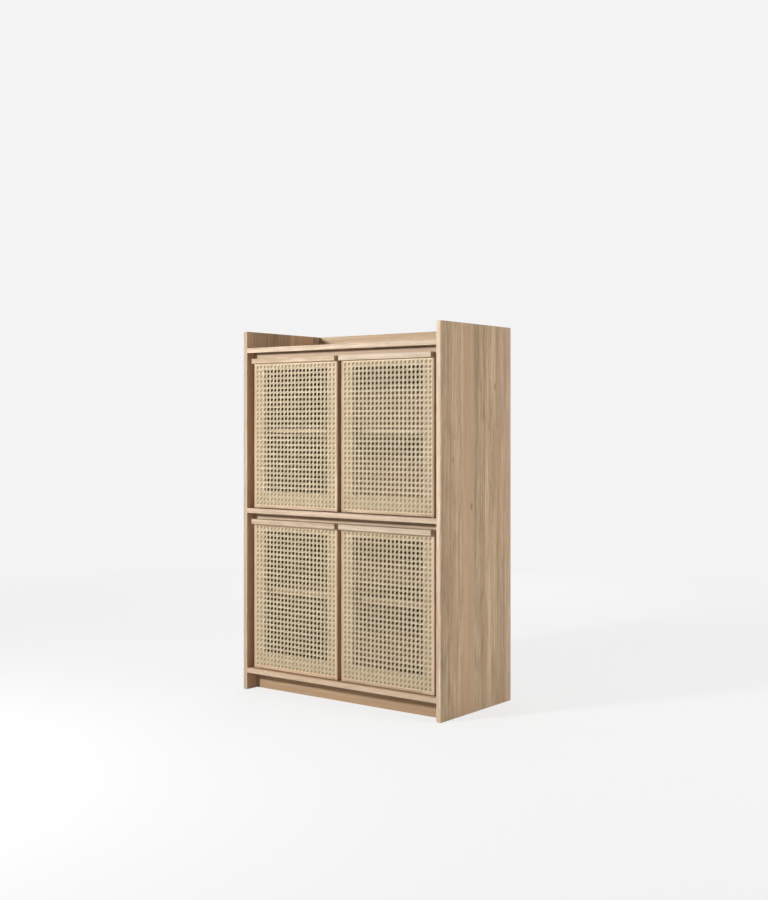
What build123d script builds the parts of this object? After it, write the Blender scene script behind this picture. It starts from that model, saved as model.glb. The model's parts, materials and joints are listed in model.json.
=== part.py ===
from build123d import *
import os
from math import floor, hypot

# Two-tier shoe cabinet with four side-hung, cane-panelled doors.
# Millimetres, +Z up, front towards -Y, origin on the floor at the middle of the cabinet's footprint.
# Every piece is a node of its own. A door's pieces turn together about its two pivot pins.

# Carcass
cabinet_width = 800.0
cabinet_depth = 400.0
cabinet_height = 1200.0
board_thickness = 16.0
plinth_height = 56.0
plinth_recess = 50.0
tray_lip = 56.0
back_panel_thickness = 6.0
back_panel_floor_gap = 20.0
edge_radius = 0.8
fit_gap = 0.3

# Shelves and their pins
shelf_thickness = 16.0
shelf_side_gap = 1.0
shelf_pin_diameter = 5.0
shelf_pin_reach = 10.0
shelf_pin_embed = 9.0
shelf_pin_setback = 45.0

# Door frames
door_thickness = 18.0
centre_gap = 16.0
door_top_gap = 20.0
door_bottom_gap = 3.0
stile_width = 45.0
top_rail_width = 34.0
bottom_rail_width = 52.0
tenon_length = 20.0
tenon_thickness = 6.0
tenon_shoulder = 6.0
tenon_setback = 7.0
joint_gap = 0.1

# Cane and its spline
cane_border = 7.5
cane_top_border = 18.0
cane_thickness = 1.8
cane_rebate = 2.4
cane_pitch_across = 15.6
cane_pitch_up = 15.7
cane_hole_diameter = 7.8
spline_width = 2.5
spline_depth = 4.6
spline_recess = 0.2

# Bar handles and their screws
handle_depth = 16.0
handle_height = 16.0
handle_hinge_inset = 2.0
handle_meeting_inset = 0.0
handle_screw_diameter = 4.0
handle_screw_head = 7.5
handle_screw_grip = 10.0
handle_screw_spread = 230.0

# Pivot pins, the bushes they stand in and the brackets that hold them at the top
pivot_inset = 10.0
pin_diameter = 6.0
pin_embed = 25.0
pin_clearance = 0.05
pin_end_gap = 0.5
bush_wall = 2.0
bush_flange_width = 2.0
bush_web = 4.0
bracket_width = 12.0
bracket_thickness = 4.0
bracket_inset = 3.0
bracket_clearance = 0.5
swing_clearance = 1.75
heel_clearance = 1.5

# Stop frame behind the doors, with its catches
stop_rail_height = 40.0
post_width = 40.0
strike_diameter = 14.0
strike_thickness = 1.2
strike_screw_diameter = 3.0
strike_screw_length = 12.0
magnet_diameter = 12.0
magnet_embed = 8.0
magnet_gap = 0.3
catch_offset = 16.0

# Dowels
dowel_diameter = 8.0
dowel_in_side = 10.0
dowel_in_board = 20.0
dowel_edge = 50.0
dowel_gap = 0.05

# Places that follow from the sizes above
front_y = -cabinet_depth / 2
back_y = cabinet_depth / 2
inner_x = cabinet_width / 2 - board_thickness
board_back_y = back_y - board_thickness
tier_height = (cabinet_height - plinth_height - tray_lip - 3 * board_thickness) / 2
bottom_board_z = plinth_height
lower_tier_z = bottom_board_z + board_thickness
middle_board_z = lower_tier_z + tier_height
upper_tier_z = middle_board_z + board_thickness
tray_board_z = upper_tier_z + tier_height
tiers = {"lower": lower_tier_z, "upper": upper_tier_z}

door_front_y = front_y + handle_depth
door_back_y = door_front_y + door_thickness
pivot_y = door_front_y + door_thickness / 2
swing_radius = hypot(pivot_inset - handle_hinge_inset, door_thickness / 2 + handle_depth)
side_gap = swing_radius - pivot_inset + swing_clearance
hinge_edge_x = inner_x - side_gap
pivot_x = hinge_edge_x - pivot_inset
meeting_edge_x = centre_gap / 2
door_width = hinge_edge_x - meeting_edge_x
door_height = tier_height - door_bottom_gap - door_top_gap
stop_front_y = pivot_y + hypot(pivot_inset, door_thickness / 2) + heel_clearance
stop_back_y = stop_front_y + board_thickness

pin_radius = pin_diameter / 2
bush_depth = (board_thickness - bush_web) / 2
bush_radius = pin_radius + bush_wall
catch_x = meeting_edge_x + catch_offset
catch_drop = (stop_rail_height - door_top_gap) / 2
strike_grip = strike_screw_length - strike_thickness
notch_depth = fit_gap + bracket_thickness + bracket_clearance
dowel_radius = dowel_diameter / 2

# Axes of every dowel in a side panel, as (depth, height), by the board that it holds
board_dowel_ys = (front_y + dowel_edge, 0.0, board_back_y - dowel_edge)
dowels = {
    "bottom_board": [(y, bottom_board_z + board_thickness / 2) for y in board_dowel_ys],
    "middle_board": [(y, middle_board_z + board_thickness / 2) for y in board_dowel_ys],
    "tray_board": [(y, tray_board_z + board_thickness / 2) for y in board_dowel_ys],
    "front_plinth": [(front_y + plinth_recess + board_thickness / 2, plinth_height / 2)],
    "rear_plinth": [(board_back_y - board_thickness / 2, plinth_height / 2)],
    "back_rail": [(back_y - board_thickness / 2, tray_board_z + board_thickness + tray_lip / 2)],
}

pieces = []


def keep(piece, label):
    """Names a finished piece and puts it on the list to be written."""
    piece.part.label = label
    pieces.append(piece)


def cross_holes(spots, x, radius, depth):
    """Bores along X, to a depth each way from the plane at x, as a loose part to subtract."""
    places = [Location((x, y, z), (0, 90, 0)) for y, z in spots]
    with BuildPart() as bores:
        with Locations(*places):
            Cylinder(radius, 2 * depth)
    return bores.part


def pivot_bores(z, depth, radius):
    """Upright bores at both pivot axes, to a depth each way from the height z, to subtract."""
    with BuildPart() as bores:
        with Locations((-pivot_x, pivot_y, z), (pivot_x, pivot_y, z)):
            Cylinder(radius, 2 * depth)
    return bores.part


def slab(x_span, y_span, z_span):
    """A plain board between three pairs of faces."""
    with BuildPart() as board:
        with BuildSketch(Plane.XY.offset(z_span[0])):
            with Locations(((x_span[0] + x_span[1]) / 2, (y_span[0] + y_span[1]) / 2)):
                Rectangle(x_span[1] - x_span[0], y_span[1] - y_span[0])
        extrude(amount=z_span[1] - z_span[0])
    return board


# ---------------------------------------------------------------- carcass


def shelf_pin_spots():
    """Axes of the shelf pins in one side panel, under both shelves."""
    ys = (stop_back_y + shelf_pin_setback, board_back_y - shelf_pin_setback)
    zs = [shelf_z(tier_z) - shelf_pin_diameter / 2 for tier_z in tiers.values()]
    return [(y, z) for z in zs for y in ys]


def shelf_z(tier_z):
    """Underside of the shelf that halves a tier."""
    return tier_z + (tier_height - shelf_thickness) / 2


def make_side_panel(side, label):
    """One side panel, with blind holes for the dowels and shelf pins on its inner face."""
    x = side * inner_x
    with BuildPart() as panel:
        with BuildSketch(Plane.XY):
            with Locations((side * (inner_x + board_thickness / 2), 0)):
                Rectangle(board_thickness, cabinet_depth)
        extrude(amount=cabinet_height)
        fillet(panel.edges().filter_by(Axis.Z), edge_radius)
        fillet(panel.edges().group_by(Axis.Z)[-1], edge_radius)
        for spots in dowels.values():
            add(cross_holes(spots, x, dowel_radius + dowel_gap, dowel_in_side), mode=Mode.SUBTRACT)
        add(
            cross_holes(shelf_pin_spots(), x, shelf_pin_diameter / 2 + dowel_gap, shelf_pin_embed),
            mode=Mode.SUBTRACT,
        )
    keep(panel, label)


def make_cross_board(label, y_span, z_span, bushed=False):
    """A board from side to side, bored for its dowels and, where doors stand on it, for bushes."""
    with BuildPart() as board:
        add(slab((-inner_x, inner_x), y_span, z_span).part)
        front_edges = board.edges().filter_by(Axis.X).group_by(Axis.Y)[0]
        fillet(front_edges, edge_radius)
        for side in (-1, 1):
            add(
                cross_holes(dowels[label], side * inner_x, dowel_radius + dowel_gap, dowel_in_board),
                mode=Mode.SUBTRACT,
            )
        if bushed:
            add(pivot_bores(z_span[1], bush_depth, bush_radius + dowel_gap), mode=Mode.SUBTRACT)
    keep(board, label)


def make_carcass():
    """Side panels, boards, plinths, rear upstand and back panel."""
    make_side_panel(-1, "side_panel_left")
    make_side_panel(1, "side_panel_right")
    board_ys = (front_y, board_back_y)
    plinth_front_y = front_y + plinth_recess
    make_cross_board("bottom_board", board_ys, (bottom_board_z, lower_tier_z), bushed=True)
    make_cross_board("middle_board", board_ys, (middle_board_z, upper_tier_z), bushed=True)
    make_cross_board("tray_board", board_ys, (tray_board_z, tray_board_z + board_thickness))
    make_cross_board("back_rail", (board_back_y, back_y), (tray_board_z, cabinet_height))
    make_cross_board(
        "front_plinth", (plinth_front_y, plinth_front_y + board_thickness), (0, plinth_height)
    )
    make_cross_board("rear_plinth", (board_back_y - board_thickness, board_back_y), (0, plinth_height))
    panel = slab(
        (-inner_x + fit_gap, inner_x - fit_gap),
        (board_back_y, board_back_y + back_panel_thickness),
        (back_panel_floor_gap, tray_board_z - fit_gap),
    )
    keep(panel, "back_panel")


def make_dowels():
    """Every dowel between a side panel and a board, as one group of pegs."""
    length = dowel_in_side + dowel_in_board - fit_gap
    offset = inner_x - (dowel_in_board - dowel_in_side) / 2
    spots = [spot for board_spots in dowels.values() for spot in board_spots]
    with BuildPart() as pegs:
        places = [Location((s * offset, y, z), (0, 90, 0)) for s in (-1, 1) for y, z in spots]
        with Locations(*places):
            Cylinder(dowel_radius, length)
    keep(pegs, "dowels")


def make_shelves():
    """One shelf at the middle of each tier, lying on four pins."""
    for tier, tier_z in tiers.items():
        z = shelf_z(tier_z)
        with BuildPart() as shelf:
            half_width = inner_x - shelf_side_gap
            ys = (stop_back_y + fit_gap, board_back_y - fit_gap)
            add(slab((-half_width, half_width), ys, (z, z + shelf_thickness)).part)
            fillet(shelf.edges().filter_by(Axis.X).group_by(Axis.Y)[0], edge_radius)
        keep(shelf, f"{tier}_shelf")
    offset = inner_x + (shelf_pin_embed - shelf_pin_reach) / 2
    length = shelf_pin_embed + shelf_pin_reach - fit_gap
    with BuildPart() as pins:
        places = [
            Location((s * offset, y, z), (0, 90, 0)) for s in (-1, 1) for y, z in shelf_pin_spots()
        ]
        with Locations(*places):
            Cylinder(shelf_pin_diameter / 2, length)
    keep(pins, "shelf_pins")


# ---------------------------------------------------------------- stop frame and catches


def catch_z(tier_z):
    """Height of a tier's catches, midway up the doors' overlap with the stop rail."""
    return tier_z + tier_height - door_top_gap - catch_drop


def make_stop_frame():
    """Behind each pair of doors: a stop rail, a centre post and two side posts."""
    ys = (stop_front_y, stop_back_y)
    with BuildPart() as side_posts:
        for tier_z in tiers.values():
            zs = (tier_z, tier_z + tier_height - stop_rail_height)
            add(slab((-inner_x, post_width - inner_x), ys, zs).part)
            add(slab((inner_x - post_width, inner_x), ys, zs).part)
    keep(side_posts, "side_posts")
    with BuildPart() as centre_posts:
        for tier_z in tiers.values():
            zs = (tier_z, tier_z + tier_height - stop_rail_height)
            add(slab((-post_width / 2, post_width / 2), ys, zs).part)
    keep(centre_posts, "centre_posts")
    for tier, tier_z in tiers.items():
        rail_z = tier_z + tier_height - stop_rail_height
        with BuildPart() as rail:
            add(slab((-inner_x, inner_x), ys, (rail_z, tier_z + tier_height)).part)
            places = [
                Location((s * catch_x, stop_front_y, catch_z(tier_z)), (90, 0, 0)) for s in (-1, 1)
            ]
            with Locations(*places):
                Cylinder(magnet_diameter / 2 + dowel_gap, 2 * magnet_embed, mode=Mode.SUBTRACT)
            for bracket_side in (-1, 1):
                slot = bracket_solid(bracket_side, bracket_z(tier_z), dowel_gap)
                add(slot, mode=Mode.SUBTRACT)
        keep(rail, f"{tier}_stop_rail")


def make_magnets():
    """The four catch magnets, let into the stop rails, each just short of its strike plate."""
    magnet_front_y = door_back_y + strike_thickness + magnet_gap
    magnet_back_y = stop_front_y + magnet_embed - dowel_gap
    middle_y = (magnet_front_y + magnet_back_y) / 2
    with BuildPart() as magnets:
        places = [
            Location((s * catch_x, middle_y, catch_z(tier_z)), (90, 0, 0))
            for tier_z in tiers.values()
            for s in (-1, 1)
        ]
        with Locations(*places):
            Cylinder(magnet_diameter / 2, magnet_back_y - magnet_front_y)
    keep(magnets, "catch_magnets")


def bracket_z(tier_z):
    """Underside of a tier's top brackets, which end just below the tops of its doors."""
    return tier_z + tier_height - door_top_gap - fit_gap - bracket_thickness


def bracket_solid(side, z, clearance):
    """A flat steel tongue round one pivot axis and back into the stop rail, without its eye."""
    width = bracket_width + 2 * clearance
    back_y = stop_back_y - bracket_inset + clearance
    with BuildPart() as tongue:
        with BuildSketch(Plane.XY.offset(z - clearance)):
            with Locations((side * pivot_x, pivot_y)):
                Circle(width / 2)
            with Locations((side * pivot_x, (pivot_y + back_y) / 2)):
                Rectangle(width, back_y - pivot_y)
        extrude(amount=bracket_thickness + 2 * clearance)
    return tongue.part


def make_pivot_hardware():
    """The four top brackets, and the four flanged bushes that the doors stand on."""
    with BuildPart() as brackets:
        for tier_z in tiers.values():
            for side in (-1, 1):
                add(bracket_solid(side, bracket_z(tier_z), 0))
            middle_z = bracket_z(tier_z) + bracket_thickness / 2
            bores = pivot_bores(middle_z, bracket_thickness, pin_radius + pin_clearance)
            add(bores, mode=Mode.SUBTRACT)
    keep(brackets, "top_brackets")
    flange_thickness = door_bottom_gap - fit_gap
    with BuildPart() as bushes:
        for tier_z in tiers.values():
            for x in (-pivot_x, pivot_x):
                with BuildSketch(Plane.XY.offset(tier_z - bush_depth)):
                    with Locations((x, pivot_y)):
                        Circle(bush_radius)
                extrude(amount=bush_depth + flange_thickness)
                with BuildSketch(Plane.XY.offset(tier_z)):
                    with Locations((x, pivot_y)):
                        Circle(bush_radius + bush_flange_width)
                extrude(amount=flange_thickness)
            add(pivot_bores(tier_z, 2 * bush_depth, pin_radius + pin_clearance), mode=Mode.SUBTRACT)
    keep(bushes, "hinge_bushes")


# ---------------------------------------------------------------- doors


def mirrored_span(side, near, far):
    """The X span between two distances from the middle, on one side of it, low end first."""
    return tuple(sorted((side * near, side * far)))


def cane_pocket(side, door_z):
    """The rebate for the cane and the deeper groove for its spline, to subtract from a frame."""
    x = side * (meeting_edge_x + hinge_edge_x) / 2
    width = door_width - 2 * cane_border
    height = door_height - cane_border - cane_top_border
    z = door_z + cane_border + height / 2
    with BuildPart() as pocket:
        with BuildSketch(Plane.XZ.offset(-door_front_y)):
            with Locations((x, z)):
                Rectangle(width, height)
        extrude(amount=-cane_rebate)
        with BuildSketch(Plane.XZ.offset(-door_front_y)):
            with Locations((x, z)):
                Rectangle(width, height)
                Rectangle(width - 2 * spline_width, height - 2 * spline_width, mode=Mode.SUBTRACT)
        extrude(amount=-(spline_depth + spline_recess))
    return pocket.part


def rail_spans(door_z):
    """Heights between which the bottom and top rails lie."""
    door_top = door_z + door_height
    return {
        "bottom": (door_z, door_z + bottom_rail_width),
        "top": (door_top - top_rail_width, door_top),
    }


def tenon_block(side, door_z, clearance):
    """Both ends' tenons of both rails, grown by a clearance: solid tenons, or mortises to cut."""
    near = meeting_edge_x + stile_width - tenon_length - clearance
    far = hinge_edge_x - stile_width + tenon_length + clearance
    ys = (
        door_front_y + tenon_setback - clearance,
        door_front_y + tenon_setback + tenon_thickness + clearance,
    )
    blocks = {}
    for name, (low, high) in rail_spans(door_z).items():
        zs = (low + tenon_shoulder - clearance, high - tenon_shoulder + clearance)
        blocks[name] = slab(mirrored_span(side, near, far), ys, zs).part
    return blocks


def bracket_notch(side, door_top):
    """Room for the top bracket at every door angle, cut in the hinge stile's top back corner."""
    reach = bracket_width / 2 + bracket_clearance
    xs = mirrored_span(side, pivot_x - reach, hinge_edge_x + 1)
    return slab(xs, (pivot_y - reach, door_back_y + 1), (door_top - notch_depth, door_top + 1)).part


def make_frame(name, side, door_z):
    """Two stiles and two rails, tenoned together and rebated for the cane."""
    door_ys = (door_front_y, door_back_y)
    door_zs = (door_z, door_z + door_height)
    pocket = cane_pocket(side, door_z)
    mortises = tenon_block(side, door_z, joint_gap)
    stiles = {
        "meeting": (meeting_edge_x, meeting_edge_x + stile_width),
        "hinge": (hinge_edge_x - stile_width, hinge_edge_x),
    }
    for role, (near, far) in stiles.items():
        with BuildPart() as stile:
            add(slab(mirrored_span(side, near, far), door_ys, door_zs).part)
            outer = stile.edges().filter_by(Axis.Z).group_by(Axis.Y)[0]
            fillet(outer, edge_radius)
            add(pocket, mode=Mode.SUBTRACT)
            add(mortises["bottom"], mode=Mode.SUBTRACT)
            add(mortises["top"], mode=Mode.SUBTRACT)
            if role == "hinge":
                add(bracket_notch(side, door_zs[1]), mode=Mode.SUBTRACT)
                for end_z in (door_zs[0], door_zs[1] - notch_depth):
                    with Locations((side * pivot_x, pivot_y, end_z)):
                        Cylinder(pin_radius, 2 * pin_embed, mode=Mode.SUBTRACT)
            else:
                screw_place = (side * catch_x, door_back_y, door_zs[1] - catch_drop)
                with Locations(Location(screw_place, (90, 0, 0))):
                    Cylinder(strike_screw_diameter / 2, 2 * strike_grip, mode=Mode.SUBTRACT)
        keep(stile, f"{name}_{role}_stile")
    tenons = tenon_block(side, door_z, 0)
    rail_xs = mirrored_span(side, meeting_edge_x + stile_width, hinge_edge_x - stile_width)
    for role, rail_zs in rail_spans(door_z).items():
        with BuildPart() as rail:
            add(slab(rail_xs, door_ys, rail_zs).part)
            add(tenons[role])
            add(pocket, mode=Mode.SUBTRACT)
            if role == "top":
                add(handle_screw_solids(side, door_z, joint_gap), mode=Mode.SUBTRACT)
        keep(rail, f"{name}_{role}_rail")


def handle_screw_solids(side, door_z, clearance):
    """Countersunk screws from behind the top rail into the handle, grown by a clearance."""
    middle_x = side * (meeting_edge_x + hinge_edge_x) / 2
    z = door_z + door_height - handle_height / 2
    radius = handle_screw_diameter / 2 + clearance
    head = handle_screw_head / 2 + clearance
    with BuildPart() as screws:
        for x in (middle_x - handle_screw_spread / 2, middle_x + handle_screw_spread / 2):
            with BuildSketch(Plane.XZ.offset(-door_back_y)):
                with Locations((x, z)):
                    Circle(radius)
            extrude(amount=door_thickness + handle_screw_grip + clearance)
            with BuildSketch(Plane.XZ.offset(-door_back_y)) as head_face:
                with Locations((x, z)):
                    Circle(head)
            extrude(head_face.sketch, amount=head - radius, taper=45)
    return screws.part


def make_handle(name, side, door_z):
    """A square bar along the door's top edge, flush with the cabinet's front, and its screws."""
    door_top = door_z + door_height
    near = meeting_edge_x + handle_meeting_inset
    xs = mirrored_span(side, near, hinge_edge_x - handle_hinge_inset)
    with BuildPart() as handle:
        add(slab(xs, (front_y, door_front_y), (door_top - handle_height, door_top)).part)
        outer = handle.edges().group_by(Axis.Y)[0] + handle.edges().filter_by(Axis.Y)
        fillet(outer, edge_radius)
        add(handle_screw_solids(side, door_z, joint_gap), mode=Mode.SUBTRACT)
    keep(handle, f"{name}_handle")
    with BuildPart() as screws:
        add(handle_screw_solids(side, door_z, 0))
    keep(screws, f"{name}_handle_screws")


def cane_grid():
    """Counts of cane holes across, below and above the middle of the door's opening."""
    half_width = door_width / 2 - cane_border - spline_width
    above, below = cane_reach()
    spare = cane_hole_diameter / 2
    across = floor((half_width - spare) / cane_pitch_across + 0.5)
    down = floor((below - spare) / cane_pitch_up + 0.5)
    up = floor((above - spare) / cane_pitch_up + 0.5)
    return 2 * across, down, up


def opening_middle():
    """Height of the opening's middle above the door's bottom edge."""
    return (door_height + bottom_rail_width - top_rail_width) / 2


def cane_reach():
    """How far the cane sheet reaches above and below the opening's middle."""
    above = door_height - cane_top_border - spline_width - opening_middle()
    below = opening_middle() - cane_border - spline_width
    return above, below


def cane_sheet():
    """The cane as one thin perforated sheet, in a door whose lower middle is at the origin."""
    above, below = cane_reach()
    columns, down, up = cane_grid()
    width = door_width - 2 * (cane_border + spline_width)
    middle = opening_middle()
    with BuildPart() as sheet:
        with BuildSketch(Plane.XZ.offset(-door_front_y - cane_rebate + cane_thickness)):
            with Locations((0, middle + (above - below) / 2)):
                Rectangle(width, above + below)
            with Locations((0, middle + (up - down) * cane_pitch_up / 2)):
                with GridLocations(cane_pitch_across, cane_pitch_up, columns, up + down):
                    Circle(cane_hole_diameter / 2, mode=Mode.SUBTRACT)
        extrude(amount=-cane_thickness)
    return sheet.part


def make_cane(name, side, door_z, sheet):
    """The cane sheet, and the reed spline pressed into the groove round it."""
    x = side * (meeting_edge_x + hinge_edge_x) / 2
    with BuildPart() as cane:
        add(sheet.moved(Location((x, 0, door_z))))
    keep(cane, f"{name}_cane_panel")
    width = door_width - 2 * cane_border - 2 * joint_gap
    height = door_height - cane_border - cane_top_border - 2 * joint_gap
    strip = spline_width - 2 * joint_gap
    with BuildPart() as spline:
        with BuildSketch(Plane.XZ.offset(-door_front_y - spline_recess)):
            with Locations((x, door_z + cane_border + joint_gap + height / 2)):
                Rectangle(width, height)
                Rectangle(width - 2 * strip, height - 2 * strip, mode=Mode.SUBTRACT)
        extrude(amount=-spline_depth)
    keep(spline, f"{name}_cane_spline")


def make_pins(name, side, door_z):
    """The door's two pivot pins, pressed into the hinge stile's ends."""
    lower_end = door_z - door_bottom_gap - bush_depth + pin_end_gap
    upper_end = door_z + door_height - fit_gap
    upper_start = door_z + door_height - notch_depth - pin_embed
    with BuildPart() as pins:
        for low, high in ((lower_end, door_z + pin_embed), (upper_start, upper_end)):
            with BuildSketch(Plane.XY.offset(low)):
                with Locations((side * pivot_x, pivot_y)):
                    Circle(pin_radius)
            extrude(amount=high - low)
    keep(pins, f"{name}_hinge_pins")


def make_strike(name, side, tier_z):
    """A steel disc screwed to the back of the door, opposite the catch magnet."""
    z = catch_z(tier_z)
    screw_radius = strike_screw_diameter / 2
    with BuildPart() as strike:
        with BuildSketch(Plane.XZ.offset(-door_back_y - strike_thickness)):
            with Locations((side * catch_x, z)):
                Circle(strike_diameter / 2)
                Circle(screw_radius, mode=Mode.SUBTRACT)
        extrude(amount=strike_thickness)
        with BuildSketch(Plane.XZ.offset(-door_back_y - strike_thickness)):
            with Locations((side * catch_x, z)):
                Circle(screw_radius)
        extrude(amount=strike_screw_length)
    keep(strike, f"{name}_strike_plate")


def make_doors():
    """Two doors in each tier, mirrored about the middle."""
    sheet = cane_sheet()
    for tier, tier_z in tiers.items():
        door_z = tier_z + door_bottom_gap
        for hand, side in (("left", -1), ("right", 1)):
            name = f"{tier}_{hand}"
            make_frame(name, side, door_z)
            make_cane(name, side, door_z, sheet)
            make_handle(name, side, door_z)
            make_pins(name, side, door_z)
            make_strike(name, side, tier_z)


make_carcass()
make_dowels()
make_shelves()
make_stop_frame()
make_magnets()
make_pivot_hardware()
make_doors()

os.makedirs("parts", exist_ok=True)
for piece in pieces:
    export_step(piece.part, f"parts/{piece.part.label}.step")
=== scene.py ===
"""Looks for the shoe cabinet: oiled pale oak, doors of woven cane, soft studio light. Metres."""

import json
import math

import bpy
import numpy as np
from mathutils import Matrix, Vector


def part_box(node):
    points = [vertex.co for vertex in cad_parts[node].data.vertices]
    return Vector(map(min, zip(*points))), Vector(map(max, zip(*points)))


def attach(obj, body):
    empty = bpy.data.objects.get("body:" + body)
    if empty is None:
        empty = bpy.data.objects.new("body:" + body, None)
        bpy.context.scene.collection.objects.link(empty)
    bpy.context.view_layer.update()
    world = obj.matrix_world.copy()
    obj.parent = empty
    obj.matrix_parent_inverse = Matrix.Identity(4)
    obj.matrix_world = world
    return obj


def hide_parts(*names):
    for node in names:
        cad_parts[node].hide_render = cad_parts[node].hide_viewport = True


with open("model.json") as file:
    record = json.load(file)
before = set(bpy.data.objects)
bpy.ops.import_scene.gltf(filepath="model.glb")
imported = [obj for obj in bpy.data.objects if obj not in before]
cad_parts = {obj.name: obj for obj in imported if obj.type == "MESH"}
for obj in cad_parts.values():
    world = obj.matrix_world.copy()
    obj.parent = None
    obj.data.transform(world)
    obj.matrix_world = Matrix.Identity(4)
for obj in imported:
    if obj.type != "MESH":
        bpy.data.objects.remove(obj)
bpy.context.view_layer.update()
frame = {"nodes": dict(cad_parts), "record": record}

MM = 0.001
DOORS = [f"{tier}_{hand}" for tier in ("upper", "lower") for hand in ("left", "right")]

# ---------------------------------------------------------------- node helpers

# The Mix node's sockets for colours
MIX_FIRST, MIX_SECOND, MIX_RESULT = 6, 7, 2

# A surface faces the front if its normal's Y is below this
FORWARD_NORMAL = -0.7


def new_node(tree, kind, links=None, **settings):
    """A shader node with its properties set, and its inputs set or linked by name or number."""
    node = tree.nodes.new(kind)
    for key, value in settings.items():
        setattr(node, key, value)
    for key, value in (links or {}).items():
        if isinstance(value, bpy.types.NodeSocket):
            tree.links.new(value, node.inputs[key])
        else:
            node.inputs[key].default_value = value
    return node


def maths(tree, operation, *values):
    """The result of a Math node on up to three numbers or sockets."""
    node = new_node(tree, "ShaderNodeMath", dict(enumerate(values)), operation=operation)
    return node.outputs[0]


def remap(tree, value, low, high, to_low=0.0, to_high=1.0):
    """A value taken from one range to another, clamped."""
    links = {"Value": value, "From Min": low, "From Max": high, "To Min": to_low, "To Max": to_high}
    return new_node(tree, "ShaderNodeMapRange", links).outputs[0]


def mix(tree, factor, first, second, blend="MIX"):
    """The second colour mixed into the first."""
    node = new_node(tree, "ShaderNodeMix", {0: factor}, data_type="RGBA", blend_type=blend)
    for number, value in ((MIX_FIRST, first), (MIX_SECOND, second)):
        if isinstance(value, bpy.types.NodeSocket):
            tree.links.new(value, node.inputs[number])
        else:
            node.inputs[number].default_value = (*value, 1)
    return node.outputs[MIX_RESULT]


def tinted(tree, colour, tone, factor=1.0):
    """A colour multiplied by a tone."""
    return mix(tree, factor, colour, tone, blend="MULTIPLY")


def grey(tree, value):
    """A value as a grey colour."""
    return new_node(tree, "ShaderNodeCombineColor", {0: value, 1: value, 2: value}).outputs[0]


def scaled(tree, vector, scale):
    """A vector stretched by different amounts along its three axes."""
    return new_node(tree, "ShaderNodeVectorMath", {0: vector, 1: scale}, operation="MULTIPLY").outputs[0]


def stretched_noise(tree, vector, scale, detail=3.0, roughness=0.55):
    """Noise on a vector scaled by different amounts along its three axes."""
    links = {"Vector": scaled(tree, vector, scale), "Scale": 1.0, "Detail": detail, "Roughness": roughness}
    return new_node(tree, "ShaderNodeTexNoise", links).outputs["Fac"]


def new_material(name):
    """An empty node material with its Principled shader."""
    material = bpy.data.materials.new(name)
    material.use_nodes = True
    shader = material.node_tree.nodes["Principled BSDF"]
    return material, material.node_tree, shader


def object_place(tree):
    """Where a point lies at rest, in metres."""
    return new_node(tree, "ShaderNodeTexCoord").outputs["Object"]


def is_forward(tree):
    """1 on the surfaces that face the front at rest."""
    normal = new_node(tree, "ShaderNodeTexCoord").outputs["Normal"]
    towards_back = new_node(tree, "ShaderNodeSeparateXYZ", {0: normal}).outputs[1]
    return maths(tree, "LESS_THAN", towards_back, FORWARD_NORMAL)


def bump(tree, shader, height, distance, strength):
    """Sends a height to the shader's normal."""
    links = {"Height": height, "Distance": distance, "Strength": strength}
    node = new_node(tree, "ShaderNodeBump", links)
    tree.links.new(node.outputs[0], shader.inputs["Normal"])


# ---------------------------------------------------------------- oak

# The wood's own colours
OAK_LIGHT = (0.67, 0.515, 0.362)
OAK_MID = (0.42, 0.297, 0.184)
OAK_DARK = (0.23, 0.148, 0.082)
OAK_GREY = (0.50, 0.387, 0.288)
OAK_ROSE = (0.56, 0.36, 0.22)
OAK_KNOT = (0.10, 0.06, 0.032)

# How often each pattern changes per metre: twice across the grain, then along it
WANDER_SCALE = (14, 14, 6)
FIGURE_SCALE = (11, 11, 1.1)
STREAK_SCALE = (120, 120, 1.6)
LINE_SCALE = (230, 230, 1.6)
FIBRE_SCALE = (420, 420, 22.0)
PORE_SCALE = (1500, 1500, 45)
CLOUD_SCALE = (5, 5, 1.2)
KNOT_SCALE = (7, 7, 3.5)

# How far each pattern goes, with a knot's radii as shares of its cell
WANDER = 2 * MM
RING_TURNS = 62.0
RING_DEPTH = 0.25
LINE_DEPTH = 0.42
FIBRE_DEPTH = 0.42
PORE_DEPTH = 0.35
KNOT_DEPTH = 0.75
KNOT_CORE, KNOT_EDGE = 0.015, 0.06
CLOUD_DEPTH = 0.05

# How much the staves of one board differ
STAVE_SHIFT = 4.0
STAVE_VALUES = (0.87, 1.09)
MOST_GREY = 0.50
MOST_ROSE = 0.65

OAK_ROUGHNESS = (0.60, 0.75)
OAK_SPECULAR = 0.15
OAK_RELIEF = 0.15 * MM
# Painted shade: a dark colour in the rebate under the cane, where the strands shade the wood
REBATE_PAINTED_SHADE = (0.29, 0.215, 0.13)
# Painted shade: a darker tone on the surfaces inside the cabinet, for the shade that falls there
INSIDE_PAINTED_SHADE = (0.62, 0.56, 0.49)
INSIDE_MARGIN = 0.5 * MM

# Mapping rotation for grain along X or Z, and the step from one board's stretch of grain to the next
GRAIN_TURN = {"X": (0, math.pi / 2, 0), "Z": (0, 0, 0)}
GRAIN_STEP = (1.7, 0.9, 2.3)


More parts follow.
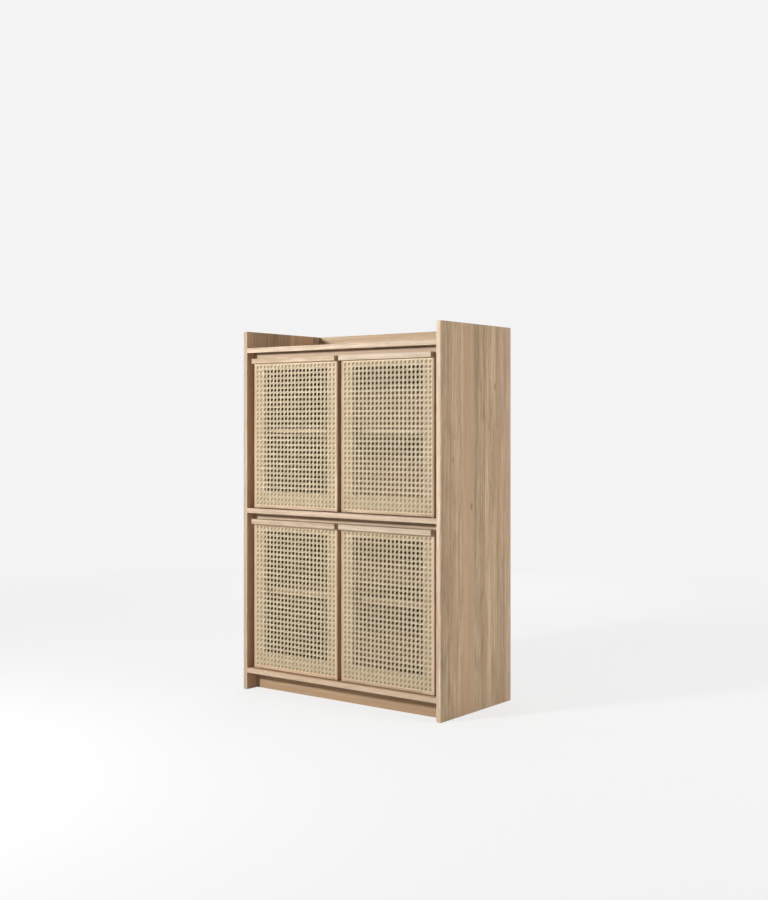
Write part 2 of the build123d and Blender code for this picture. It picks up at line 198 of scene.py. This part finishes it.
def oak_group():
    """Oak whose grain runs along the vector's Z: staves, cathedral rings, fibres, pores and knots."""
    tree = bpy.data.node_groups.new("oak", "ShaderNodeTree")
    sockets = tree.interface
    sockets.new_socket("Vector", in_out="INPUT", socket_type="NodeSocketVector")
    sockets.new_socket("Stave", in_out="INPUT", socket_type="NodeSocketFloat")
    sockets.new_socket("Color", in_out="OUTPUT", socket_type="NodeSocketColor")
    sockets.new_socket("Roughness", in_out="OUTPUT", socket_type="NodeSocketFloat")
    sockets.new_socket("Height", in_out="OUTPUT", socket_type="NodeSocketFloat")
    source = tree.nodes.new("NodeGroupInput").outputs

    # Each stave is cut from another place in the tree
    parts = new_node(tree, "ShaderNodeSeparateXYZ", {0: source["Vector"]}).outputs
    across = maths(tree, "ADD", parts[0], parts[1])
    stave = maths(tree, "FLOOR", maths(tree, "DIVIDE", across, source["Stave"]))
    chance = new_node(tree, "ShaderNodeTexWhiteNoise", {"W": stave}, noise_dimensions="1D").outputs["Color"]
    links = {0: chance, "Scale": STAVE_SHIFT}
    shift = new_node(tree, "ShaderNodeVectorMath", links, operation="SCALE").outputs[0]
    moved = new_node(tree, "ShaderNodeVectorMath", {0: source["Vector"], 1: shift}).outputs[0]
    wander = stretched_noise(tree, moved, WANDER_SCALE, detail=2.0)
    wander = remap(tree, wander, 0.3, 0.7, -WANDER, WANDER)
    bend = new_node(tree, "ShaderNodeCombineXYZ", {0: wander, 1: wander}).outputs[0]
    moved = new_node(tree, "ShaderNodeVectorMath", {0: moved, 1: bend}).outputs[0]

    figure = stretched_noise(tree, moved, FIGURE_SCALE, detail=2.0, roughness=0.4)
    rings = remap(tree, maths(tree, "SINE", maths(tree, "MULTIPLY", figure, RING_TURNS)), -0.2, 1.0)
    streaks = stretched_noise(tree, moved, STREAK_SCALE, detail=5.0, roughness=0.7)
    lines = remap(tree, stretched_noise(tree, moved, LINE_SCALE), 0.52, 0.66)
    fibres = stretched_noise(tree, moved, FIBRE_SCALE)
    pores = remap(tree, stretched_noise(tree, moved, PORE_SCALE, detail=1.0), 0.60, 0.70)
    clouds = stretched_noise(tree, moved, CLOUD_SCALE, detail=2.0)
    links = {"Vector": scaled(tree, moved, KNOT_SCALE), "Scale": 1.0}
    knots = new_node(tree, "ShaderNodeTexVoronoi", links).outputs["Distance"]
    knots = remap(tree, knots, KNOT_CORE, KNOT_EDGE, KNOT_DEPTH, 0.0)

    colour = mix(tree, remap(tree, streaks, 0.36, 0.63), OAK_LIGHT, OAK_MID)
    colour = mix(tree, maths(tree, "MULTIPLY", rings, RING_DEPTH), colour, OAK_DARK)
    colour = mix(tree, maths(tree, "MULTIPLY", lines, LINE_DEPTH), colour, OAK_DARK)
    colour = mix(tree, remap(tree, fibres, 0.35, 0.75, 0.0, FIBRE_DEPTH), colour, OAK_DARK)
    tones = new_node(tree, "ShaderNodeSeparateColor", {0: chance}).outputs
    colour = mix(tree, remap(tree, tones[0], 0.45, 1.0, 0.0, MOST_GREY), colour, OAK_GREY)
    colour = mix(tree, remap(tree, tones[1], 0.4, 1.0, 0.0, MOST_ROSE), colour, OAK_ROSE)
    value = remap(tree, tones[2], 0.0, 1.0, *STAVE_VALUES)
    value = maths(tree, "ADD", value, remap(tree, clouds, 0.3, 0.7, -CLOUD_DEPTH, CLOUD_DEPTH))
    colour = tinted(tree, colour, grey(tree, value))
    colour = mix(tree, maths(tree, "MULTIPLY", pores, PORE_DEPTH), colour, OAK_DARK)
    colour = mix(tree, knots, colour, OAK_KNOT)

    roughness = remap(tree, fibres, 0.3, 0.7, *OAK_ROUGHNESS)
    height = maths(tree, "SUBTRACT", maths(tree, "MULTIPLY", fibres, 0.6), pores)
    output = tree.nodes.new("NodeGroupOutput")
    for socket, value in (("Color", colour), ("Roughness", roughness), ("Height", height)):
        tree.links.new(value, output.inputs[socket])
    return tree


def painted_shade_inside_group():
    """1 on the surfaces inside the cabinet, apart from those that face the front: where shade is painted on the
    wood.
    """
    tree = bpy.data.node_groups.new("inside", "ShaderNodeTree")
    tree.interface.new_socket("Inside", in_out="OUTPUT", socket_type="NodeSocketFloat")
    low = (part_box("side_panel_left")[1][0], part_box("upper_stop_rail")[1][1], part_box("bottom_board")[1][2])
    high = (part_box("side_panel_right")[0][0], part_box("back_panel")[0][1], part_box("tray_board")[0][2])
    inside = maths(tree, "SUBTRACT", 1.0, is_forward(tree))
    place = new_node(tree, "ShaderNodeSeparateXYZ", {0: object_place(tree)}).outputs
    for axis, value in enumerate(place):
        above = maths(tree, "GREATER_THAN", value, low[axis] - INSIDE_MARGIN)
        below = maths(tree, "LESS_THAN", value, high[axis] + INSIDE_MARGIN)
        inside = maths(tree, "MULTIPLY", inside, maths(tree, "MULTIPLY", above, below))
    output = tree.nodes.new("NodeGroupOutput")
    tree.links.new(inside, output.inputs[0])
    return tree


def oak_material(groups, name, grain, stave, seed, tone, front_painted_light_and_shade, rebate_y):
    """Oak for one board: its own grain, with painted light and shade on its front, painted shade inside the
    cabinet, and painted shade in the rebate under the cane.
    """
    material, tree, shader = new_material(name)
    oak, inside = groups
    location = [seed * step for step in GRAIN_STEP]
    links = {"Vector": object_place(tree), "Location": location, "Rotation": GRAIN_TURN[grain]}
    mapped = new_node(tree, "ShaderNodeMapping", links).outputs[0]
    wood = new_node(tree, "ShaderNodeGroup", node_tree=oak)
    tree.links.new(mapped, wood.inputs["Vector"])
    wood.inputs["Stave"].default_value = stave
    forward = is_forward(tree)
    # The board's tone: its own, apart from painted light on the stop rails and painted shade on the posts
    colour = tinted(tree, wood.outputs["Color"], tone)
    # Painted light and shade: the front faces paler or darker by a tone of their own
    colour = tinted(tree, colour, front_painted_light_and_shade, forward)
    # Painted shade: the surfaces inside the cabinet darker
    colour = tinted(tree, colour, INSIDE_PAINTED_SHADE, new_node(tree, "ShaderNodeGroup", node_tree=inside).outputs[0])
    # Painted shade in the rebate under the cane
    if rebate_y is not None:
        depth = new_node(tree, "ShaderNodeSeparateXYZ", {0: object_place(tree)}).outputs[1]
        rebate_shade = maths(tree, "MULTIPLY", forward, maths(tree, "GREATER_THAN", depth, rebate_y))
        colour = mix(tree, rebate_shade, colour, REBATE_PAINTED_SHADE)
    tree.links.new(colour, shader.inputs["Base Color"])
    tree.links.new(wood.outputs["Roughness"], shader.inputs["Roughness"])
    shader.inputs["Specular IOR Level"].default_value = OAK_SPECULAR
    bump(tree, shader, wood.outputs["Height"], OAK_RELIEF, 0.5)
    return material


# ---------------------------------------------------------------- cane, reed and metal

CANE_DARK = (0.45, 0.335, 0.165)
CANE_LIGHT = (1.0, 0.84, 0.585)
CANE_PATCH = (0.50, 0.385, 0.20)
CANE_FIBRE = (0.40, 0.295, 0.14)
CANE_EDGE_AND_PAINTED_SHADE = (0.14, 0.09, 0.035)
CANE_FIBRE_SCALE = (9, 60, 1)
CANE_PATCH_SCALE = (1, 9, 1)
CANE_ROUGHNESS = (0.24, 0.40)
CANE_SPECULAR = 0.9

REED_LIGHT = (0.72, 0.57, 0.39)
REED_DARK = (0.56, 0.42, 0.26)
REED_SCALE = (260, 260, 260)
REED_ROUGHNESS = (0.42, 0.58)

# Light colour, dark colour and roughness
METALS = {
    "steel": ((0.56, 0.56, 0.57), (0.42, 0.42, 0.43), 0.34),
    "brass": ((0.42, 0.31, 0.16), (0.25, 0.18, 0.09), 0.40),
    "magnet": ((0.12, 0.12, 0.13), (0.06, 0.06, 0.07), 0.45),
}
SCRATCH_SCALE = (900, 900, 90)
TARNISH_SCALE = (60, 60, 60)


def cane_material():
    """Pale cane skin: each strand its own tone, the diagonals' tones partly painted light and shade, with
    darker edges, partly the cane's own and partly painted shade, and patches and fibres along it.
    """
    material, tree, shader = new_material("cane")
    strand = new_node(tree, "ShaderNodeAttribute", attribute_name="tone").outputs["Fac"]
    along = new_node(tree, "ShaderNodeUVMap", uv_map="strand").outputs[0]
    fibres = stretched_noise(tree, along, CANE_FIBRE_SCALE)
    patches = stretched_noise(tree, along, CANE_PATCH_SCALE, detail=2.0)
    over = new_node(tree, "ShaderNodeSeparateXYZ", {0: along}).outputs[0]
    off_middle = maths(tree, "ABSOLUTE", maths(tree, "SUBTRACT", maths(tree, "FRACT", over), 0.5))
    colour = mix(tree, strand, CANE_DARK, CANE_LIGHT)
    colour = mix(tree, remap(tree, patches, 0.45, 0.75, 0.0, 0.5), colour, CANE_PATCH)
    colour = mix(tree, remap(tree, fibres, 0.5, 0.8, 0.0, 0.5), colour, CANE_FIBRE)
    # Darker strand edges: partly the cane's own edges, partly painted shade between the strands
    colour = mix(tree, remap(tree, off_middle, 0.25, 0.5, 0.0, 0.9), colour, CANE_EDGE_AND_PAINTED_SHADE)
    tree.links.new(colour, shader.inputs["Base Color"])
    tree.links.new(remap(tree, fibres, 0.3, 0.7, *CANE_ROUGHNESS), shader.inputs["Roughness"])
    shader.inputs["Specular IOR Level"].default_value = CANE_SPECULAR
    bump(tree, shader, fibres, 0.1 * MM, 0.6)
    return material


def reed_material():
    """The spline round the cane: plain reed, close in colour to the oak."""
    material, tree, shader = new_material("reed")
    fibres = stretched_noise(tree, object_place(tree), REED_SCALE)
    colour = mix(tree, remap(tree, fibres, 0.35, 0.7), REED_LIGHT, REED_DARK)
    tree.links.new(colour, shader.inputs["Base Color"])
    tree.links.new(remap(tree, fibres, 0.3, 0.7, *REED_ROUGHNESS), shader.inputs["Roughness"])
    bump(tree, shader, fibres, 0.1 * MM, 0.4)
    return material


def metal_material(name, light, dark, roughness):
    """Metal with fine scratches and a little tarnish."""
    material, tree, shader = new_material(name)
    place = object_place(tree)
    scratches = stretched_noise(tree, place, SCRATCH_SCALE)
    tarnish = stretched_noise(tree, place, TARNISH_SCALE)
    colour = mix(tree, remap(tree, tarnish, 0.4, 0.75), light, dark)
    tree.links.new(colour, shader.inputs["Base Color"])
    shader.inputs["Metallic"].default_value = 1.0
    spread = remap(tree, scratches, 0.3, 0.7, roughness - 0.08, roughness + 0.1)
    tree.links.new(spread, shader.inputs["Roughness"])
    bump(tree, shader, scratches, 0.03 * MM, 0.5)
    return material


# ---------------------------------------------------------------- weave

# The mesh of the cane: upright and level pairs of strands at these pitches, and diagonals between them
PITCH_ACROSS = 15.6 * MM
PITCH_UP = 15.7 * MM
PAIR_SPREAD = 1.55 * MM
STRAND_WIDTH = 1.65 * MM
STRAND_THICKNESS = 0.65 * MM
PAIR_WAVE = 0.22 * MM
DIAGONAL_WAVE = 0.5 * MM
WAVE_FLATNESS = 2.5
STEPS_PER_PITCH = 4
DIAGONAL_STEPS_PER_PITCH = 8

# How far the strands run under the spline on each side
TUCK = 1.5 * MM

# A strand's section from edge to edge: the front face is narrower than the back
CROWN = 0.56
SECTION_ACROSS = np.array([-0.5, -0.5 * CROWN, 0.5 * CROWN, 0.5])
SECTION_LIFT = np.array([-0.5, 0.5, 0.5, -0.5])
SIDES = len(SECTION_ACROSS)

# Ranges of tone, 0 for the darkest cane and 1 for the palest; the diagonals' ranges by the way they lean are
# painted light and shade, pale as if lit one way and dark as if shaded the other
PAIR_TONES = (0.4, 0.85)
DIAGONAL_PAINTED_LIGHT_AND_SHADE = {1: (0.95, 1.0), -1: (0.1, 0.45)}
WEAVE_SEED = 7
TEXTURE_STARTS = 40


class Strands:
    """Collects ribbons in the plane of the cane: x across, z up, and a height towards the front."""

    def __init__(self, seed):
        self.random = np.random.default_rng(seed)
        self.points, self.faces, self.uvs, self.tones = [], [], [], []
        self.count = 0

    def add(self, x, z, height, across, tones):
        """One ribbon along a line of points; across is the unit vector over its width."""
        size = len(x)
        if size < 2:
            return
        offsets = SECTION_ACROSS * STRAND_WIDTH
        lifts = SECTION_LIFT * STRAND_THICKNESS
        px = x[:, None] + offsets[None, :] * across[0]
        pz = z[:, None] + offsets[None, :] * across[1]
        py = -(height[:, None] + lifts[None, :])
        self.points.append(np.stack([px, py, pz], axis=-1).reshape(-1, 3))
        steps = np.concatenate([[0], np.cumsum(np.hypot(np.diff(x), np.diff(z)))])
        tone = self.random.uniform(*tones)
        start = self.random.integers(0, TEXTURE_STARTS, 2)
        u = np.tile(np.linspace(0, 1, SIDES), size) + start[0]
        v = np.repeat(steps, SIDES) + start[1]
        self.uvs.append(np.stack([u, v], axis=-1))
        self.tones.append(np.full(SIDES * size, tone))
        base = self.count + SIDES * np.arange(size - 1)[:, None]
        ring = base + np.arange(SIDES)[None, :]
        after = base + np.roll(np.arange(SIDES), -1)[None, :]
        quads = np.stack([ring, after, after + SIDES, ring + SIDES], axis=-1)
        self.faces.append(quads.reshape(-1, 4))
        self.count += SIDES * size

    def mesh(self, name):
        """All ribbons as one smooth mesh with its strand coordinates and tones."""
        points, faces = np.concatenate(self.points), np.concatenate(self.faces)
        mesh = bpy.data.meshes.new(name)
        mesh.from_pydata(points.tolist(), [], faces.tolist())
        mesh.polygons.foreach_set("use_smooth", np.ones(len(faces), bool))
        layer = mesh.uv_layers.new(name="strand")
        layer.data.foreach_set("uv", np.concatenate(self.uvs)[faces.ravel()].ravel())
        tone = mesh.attributes.new("tone", "FLOAT", "POINT")
        tone.data.foreach_set("value", np.concatenate(self.tones))
        mesh.update()
        return mesh


def squared_wave(phase):
    """A cosine with flat tops, so that a strand lies flat over what it crosses."""
    return np.tanh(WAVE_FLATNESS * np.cos(phase)) / math.tanh(WAVE_FLATNESS)


def weave(low, high):
    """Cane between two corners (x, z) about a crossing of pairs at the origin."""
    strands = Strands(WEAVE_SEED)
    spans = []
    for pitch, start, end in ((PITCH_ACROSS, low[0], high[0]), (PITCH_UP, low[1], high[1])):
        spare = 2 * PAIR_SPREAD / pitch
        first, last = math.ceil(start / pitch - spare), math.floor(end / pitch + spare)
        steps = np.arange(start, end, pitch / STEPS_PER_PITCH)
        spans.append((pitch, range(first, last + 1), np.append(steps, end)))
    (pitch_x, columns, xs), (pitch_z, rows, zs) = spans
    for column in columns:
        for side in (-1, 1):
            x = column * pitch_x + side * PAIR_SPREAD
            if low[0] < x < high[0]:
                height = PAIR_WAVE * np.cos(math.pi * (zs / pitch_z + column))
                strands.add(np.full(len(zs), x), zs, height, (1, 0), PAIR_TONES)
    for row in rows:
        for side in (-1, 1):
            z = row * pitch_z + side * PAIR_SPREAD
            if low[1] < z < high[1]:
                height = -PAIR_WAVE * np.cos(math.pi * (xs / pitch_x + row))
                strands.add(xs, np.full(len(xs), z), height, (0, 1), PAIR_TONES)
    reach = len(columns) + len(rows)
    slope = pitch_z / pitch_x
    length = math.hypot(1, slope)
    for way in (-1, 1):
        for line in range(-reach, reach + 1):
            # The line x / pitch_x - way * z / pitch_z = line + 1/2, cut to the rectangle
            offset = (line + 0.5) * pitch_x
            ends = sorted(offset + way * z / slope for z in (low[1], high[1]))
            start, end = max(low[0], ends[0]), min(high[0], ends[1])
            if end <= start:
                continue
            step = pitch_x / DIAGONAL_STEPS_PER_PITCH
            first, last = math.ceil(start / step), math.floor(end / step)
            x = step * np.arange(first, last + 1)
            z = way * (x - offset) * slope
            phase = 2 * math.pi * x / pitch_x
            height = way * DIAGONAL_WAVE * squared_wave(phase)
            across = (-way * slope / length, 1 / length)
            # Painted light and shade: diagonals leaning one way pale as if lit, the other dark as if shaded
            strands.add(x, z, height, across, DIAGONAL_PAINTED_LIGHT_AND_SHADE[way])
    return strands.mesh("cane_weave")


def add_cane(material):
    """The same weave in each door, standing for the CAD sheet."""
    low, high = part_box("upper_left_cane_panel")
    middle_x = (low[0] + high[0]) / 2
    middle_z = opening_middle("upper_left")
    mesh = weave(
        (low[0] - middle_x - TUCK, low[2] - middle_z - TUCK),
        (high[0] - middle_x + TUCK, high[2] - middle_z + TUCK),
    )
    mesh.materials.append(material)
    for door in DOORS:
        low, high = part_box(f"{door}_cane_panel")
        piece = bpy.data.objects.new(f"{door}_cane_weave", mesh)
        bpy.context.scene.collection.objects.link(piece)
        piece.location = ((low[0] + high[0]) / 2, (low[1] + high[1]) / 2, opening_middle(door))
        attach(piece, f"{door}_door")
        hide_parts(f"{door}_cane_panel")


def opening_middle(door):
    """Height of the middle of a door's see-through opening, where two pairs cross."""
    return (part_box(f"{door}_bottom_rail")[1][2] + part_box(f"{door}_top_rail")[0][2]) / 2


# ---------------------------------------------------------------- dressing the CAD nodes

PANEL_STAVE = 0.062
NARROW_STAVE = 0.20
UPRIGHT = ("side_panel", "stile", "post", "back_panel")
PANELS = ("side_panel", "board", "shelf", "back_panel")

# In a door frame, what faces forward but lies further back than this is in the rebate for the cane, where shade
# is painted
REBATE_BEHIND = MM

# The first word in a table that a node's name holds gives its tone: one table is for the whole board, with
# painted light on the stop rails and painted shade on the posts, and the other is painted light and shade that
# comes on top of it on the board's front
BOARD_TONES_AND_PAINTED_LIGHT_AND_SHADE = {
    "side_panel_left": (1.07, 1.0, 0.95),
    # Painted shade: the posts in the gaps beside the doors made darker
    "post": (0.92, 0.84, 0.70),
    "plinth": (0.83, 0.76, 0.66),
    # Painted light: the stop rails in the slots above the doors made paler, as if lit
    "stop_rail": (1.06, 1.16, 1.27),
    "back_rail": (0.95, 0.97, 0.96),
    "back_panel": (0.90, 0.86, 0.80),
    "stile": (1.03, 1.03, 1.03),
    "rail": (1.03, 1.03, 1.03),
    "handle": (1.05, 1.11, 1.18),
}
# Painted light and shade on the front faces: paler fronts as if lit, darker ones as if shaded, and the back
# panel's front darker as the shade inside
FRONT_PAINTED_LIGHT_AND_SHADE = {
    "back_panel": (0.68, 0.61, 0.53),
    "side_panel_left": (0.79, 0.87, 0.92),
    "side_panel_right": (1.20, 1.29, 1.40),
    "tray_board": (1.28, 1.36, 1.46),
    "middle_board": (1.10, 1.13, 1.18),
    "bottom_board": (0.93, 0.99, 1.04),
}
PLAIN_TONE = (1.0, 1.0, 1.0)


def tone_of(name, tones):
    """The tone of the first word in the table that a node's name holds."""
    return next((tone for word, tone in tones.items() if word in name), PLAIN_TONE)


def dress_nodes():
    """Gives every CAD node its material: its own oak if it is wood, else its slot's."""
    groups = oak_group(), painted_shade_inside_group()
    plain = {name: metal_material(name, *look) for name, look in METALS.items()}
    plain["reed"] = reed_material()
    slots = {entry["node"]: entry["material_slot"] for entry in frame["record"]["subparts"]}
    for seed, (name, node) in enumerate(sorted(frame["nodes"].items())):
        slot = slots[name]
        if slot in plain:
            material = plain[slot]
        elif slot == "cane":
            continue
        else:
            grain = "Z" if any(word in name for word in UPRIGHT) else "X"
            stave = PANEL_STAVE if any(word in name for word in PANELS) else NARROW_STAVE
            in_frame = slot == "door_oak" and ("stile" in name or "rail" in name)
            rebate_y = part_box(name)[0][1] + REBATE_BEHIND if in_frame else None
            tones = tone_of(name, BOARD_TONES_AND_PAINTED_LIGHT_AND_SHADE), tone_of(name, FRONT_PAINTED_LIGHT_AND_SHADE)
            material = oak_material(groups, f"oak_{name}", grain, stave, seed, *tones, rebate_y)
        node.data.materials.clear()
        node.data.materials.append(material)


# ---------------------------------------------------------------- studio

WHITE = (1, 1, 1, 1)
BACKGROUND = 0.90
WORLD_STRENGTH = 0.19

# The floor fades into the background between these distances from the cabinet
FLOOR_SIZE = 40.0
FLOOR_NEAR, FLOOR_FAR = 1.5, 4.0
FLOOR_COLOUR = (0.70, 0.70, 0.70)
FLOOR_MOTTLE = 0.985
FLOOR_MOTTLE_SCALE = (3, 3, 3)
NEAR_GLOW = 1.0
NEAR_GLOW_SHARE = 0.74

# Each lamp's place, the point it is turned to, its width and height, power and colour
LAMPS = {
    "key": ((-1.05, -2.85, 1.55), (0.2, 0, 0.5), (0.35, 0.35), 105.0, (0.99, 1.0, 1.02)),
    "fill": ((3.0, 0.9, 1.0), (0.4, 0.1, 0.55), (2.0, 2.0), 48.0, (1.03, 1.0, 0.95)),
    "top": ((0.0, 0.4, 3.0), (0.0, 0.0, 1.0), (2.2, 1.8), 18.0, (1.0, 1.0, 1.0)),
    "back": ((-1.6, 3.0, 1.5), (0.0, 0.2, 0.6), (1.8, 1.8), 38.0, (1.0, 1.0, 1.0)),
}

# The photograph's station point: 4.2 m from the cabinet's middle and 0.9 m above the floor
CAMERA_AT = (2.536, -3.340, 0.896)
CAMERA_TURN = 38.06
CAMERA_LENS = 50.92
CAMERA_SENSOR = 36.0
CAMERA_SHIFT = (0.0318, -0.0309)


def is_seen(tree):
    """1 for rays that show the background itself: from the camera, or by reflection or glass."""
    path = tree.nodes.new("ShaderNodeLightPath").outputs
    seen = maths(tree, "MAXIMUM", path["Is Camera Ray"], path["Is Glossy Ray"])
    return maths(tree, "MAXIMUM", seen, path["Is Transmission Ray"])


def make_world():
    """Even white light all round, seen as the pale background."""
    world = bpy.data.worlds.new("studio")
    bpy.context.scene.world = world
    world.use_nodes = True
    tree = world.node_tree
    tree.nodes.clear()
    light = new_node(tree, "ShaderNodeBackground", {"Color": WHITE, "Strength": WORLD_STRENGTH})
    seen = new_node(tree, "ShaderNodeBackground", {"Color": WHITE, "Strength": BACKGROUND})
    links = {0: is_seen(tree), 1: light.outputs[0], 2: seen.outputs[0]}
    blend = new_node(tree, "ShaderNodeMixShader", links)
    new_node(tree, "ShaderNodeOutputWorld", {0: blend.outputs[0]})


def make_floor():
    """A pale floor that keeps the shadow near the cabinet and fades into the background."""
    half = FLOOR_SIZE / 2
    corners = [(-half, -half, 0), (half, -half, 0), (half, half, 0), (-half, half, 0)]
    mesh = bpy.data.meshes.new("floor")
    mesh.from_pydata(corners, [], [(0, 1, 2, 3)])
    floor = bpy.data.objects.new("floor", mesh)
    bpy.context.scene.collection.objects.link(floor)
    material = bpy.data.materials.new("floor")
    material.use_nodes = True
    tree = material.node_tree
    tree.nodes.clear()
    place = object_place(tree)
    distance = new_node(tree, "ShaderNodeVectorMath", {0: place}, operation="LENGTH").outputs["Value"]
    mottle = remap(tree, stretched_noise(tree, place, FLOOR_MOTTLE_SCALE), 0.0, 1.0, FLOOR_MOTTLE, 1.0)
    colour = tinted(tree, grey(tree, mottle), FLOOR_COLOUR)
    matt = new_node(tree, "ShaderNodeBsdfDiffuse", {"Color": colour})
    brightness = remap(tree, distance, FLOOR_NEAR, FLOOR_FAR, NEAR_GLOW, BACKGROUND)
    glow = new_node(tree, "ShaderNodeEmission", {"Color": WHITE, "Strength": brightness})
    share = remap(tree, distance, FLOOR_NEAR, FLOOR_FAR, NEAR_GLOW_SHARE, 1.0)
    factor = maths(tree, "MULTIPLY", share, is_seen(tree))
    blend = new_node(tree, "ShaderNodeMixShader", {0: factor, 1: matt.outputs[0], 2: glow.outputs[0]})
    new_node(tree, "ShaderNodeOutputMaterial", {0: blend.outputs[0]})
    mesh.materials.append(material)


def make_lamp(name, place, aim, size, power, colour):
    """A soft box of some width and height at a place, turned to a point."""
    data = bpy.data.lights.new(name, "AREA")
    data.shape = "RECTANGLE"
    data.size, data.size_y = size
    data.energy = power
    data.color = colour
    lamp = bpy.data.objects.new(name, data)
    bpy.context.scene.collection.objects.link(lamp)
    lamp.location = place
    way = np.array(aim) - np.array(place)
    tilt = math.atan2(math.hypot(way[0], way[1]), -way[2])
    lamp.rotation_euler = (tilt, 0, math.atan2(way[1], way[0]) - math.pi / 2)
    lamp.visible_camera = False


def make_camera():
    """A level camera at the photograph's angle."""
    data = bpy.data.cameras.new("camera")
    data.lens = CAMERA_LENS
    data.sensor_width = CAMERA_SENSOR
    data.shift_x, data.shift_y = CAMERA_SHIFT
    camera = bpy.data.objects.new("camera", data)
    bpy.context.scene.collection.objects.link(camera)
    camera.location = CAMERA_AT
    camera.rotation_euler = (math.pi / 2, 0, math.radians(CAMERA_TURN))
    bpy.context.scene.camera = camera


dress_nodes()
add_cane(cane_material())
make_world()
make_floor()
for lamp, settings in LAMPS.items():
    make_lamp(lamp, *settings)
make_camera()
bpy.context.scene.view_settings.view_transform = "Standard"
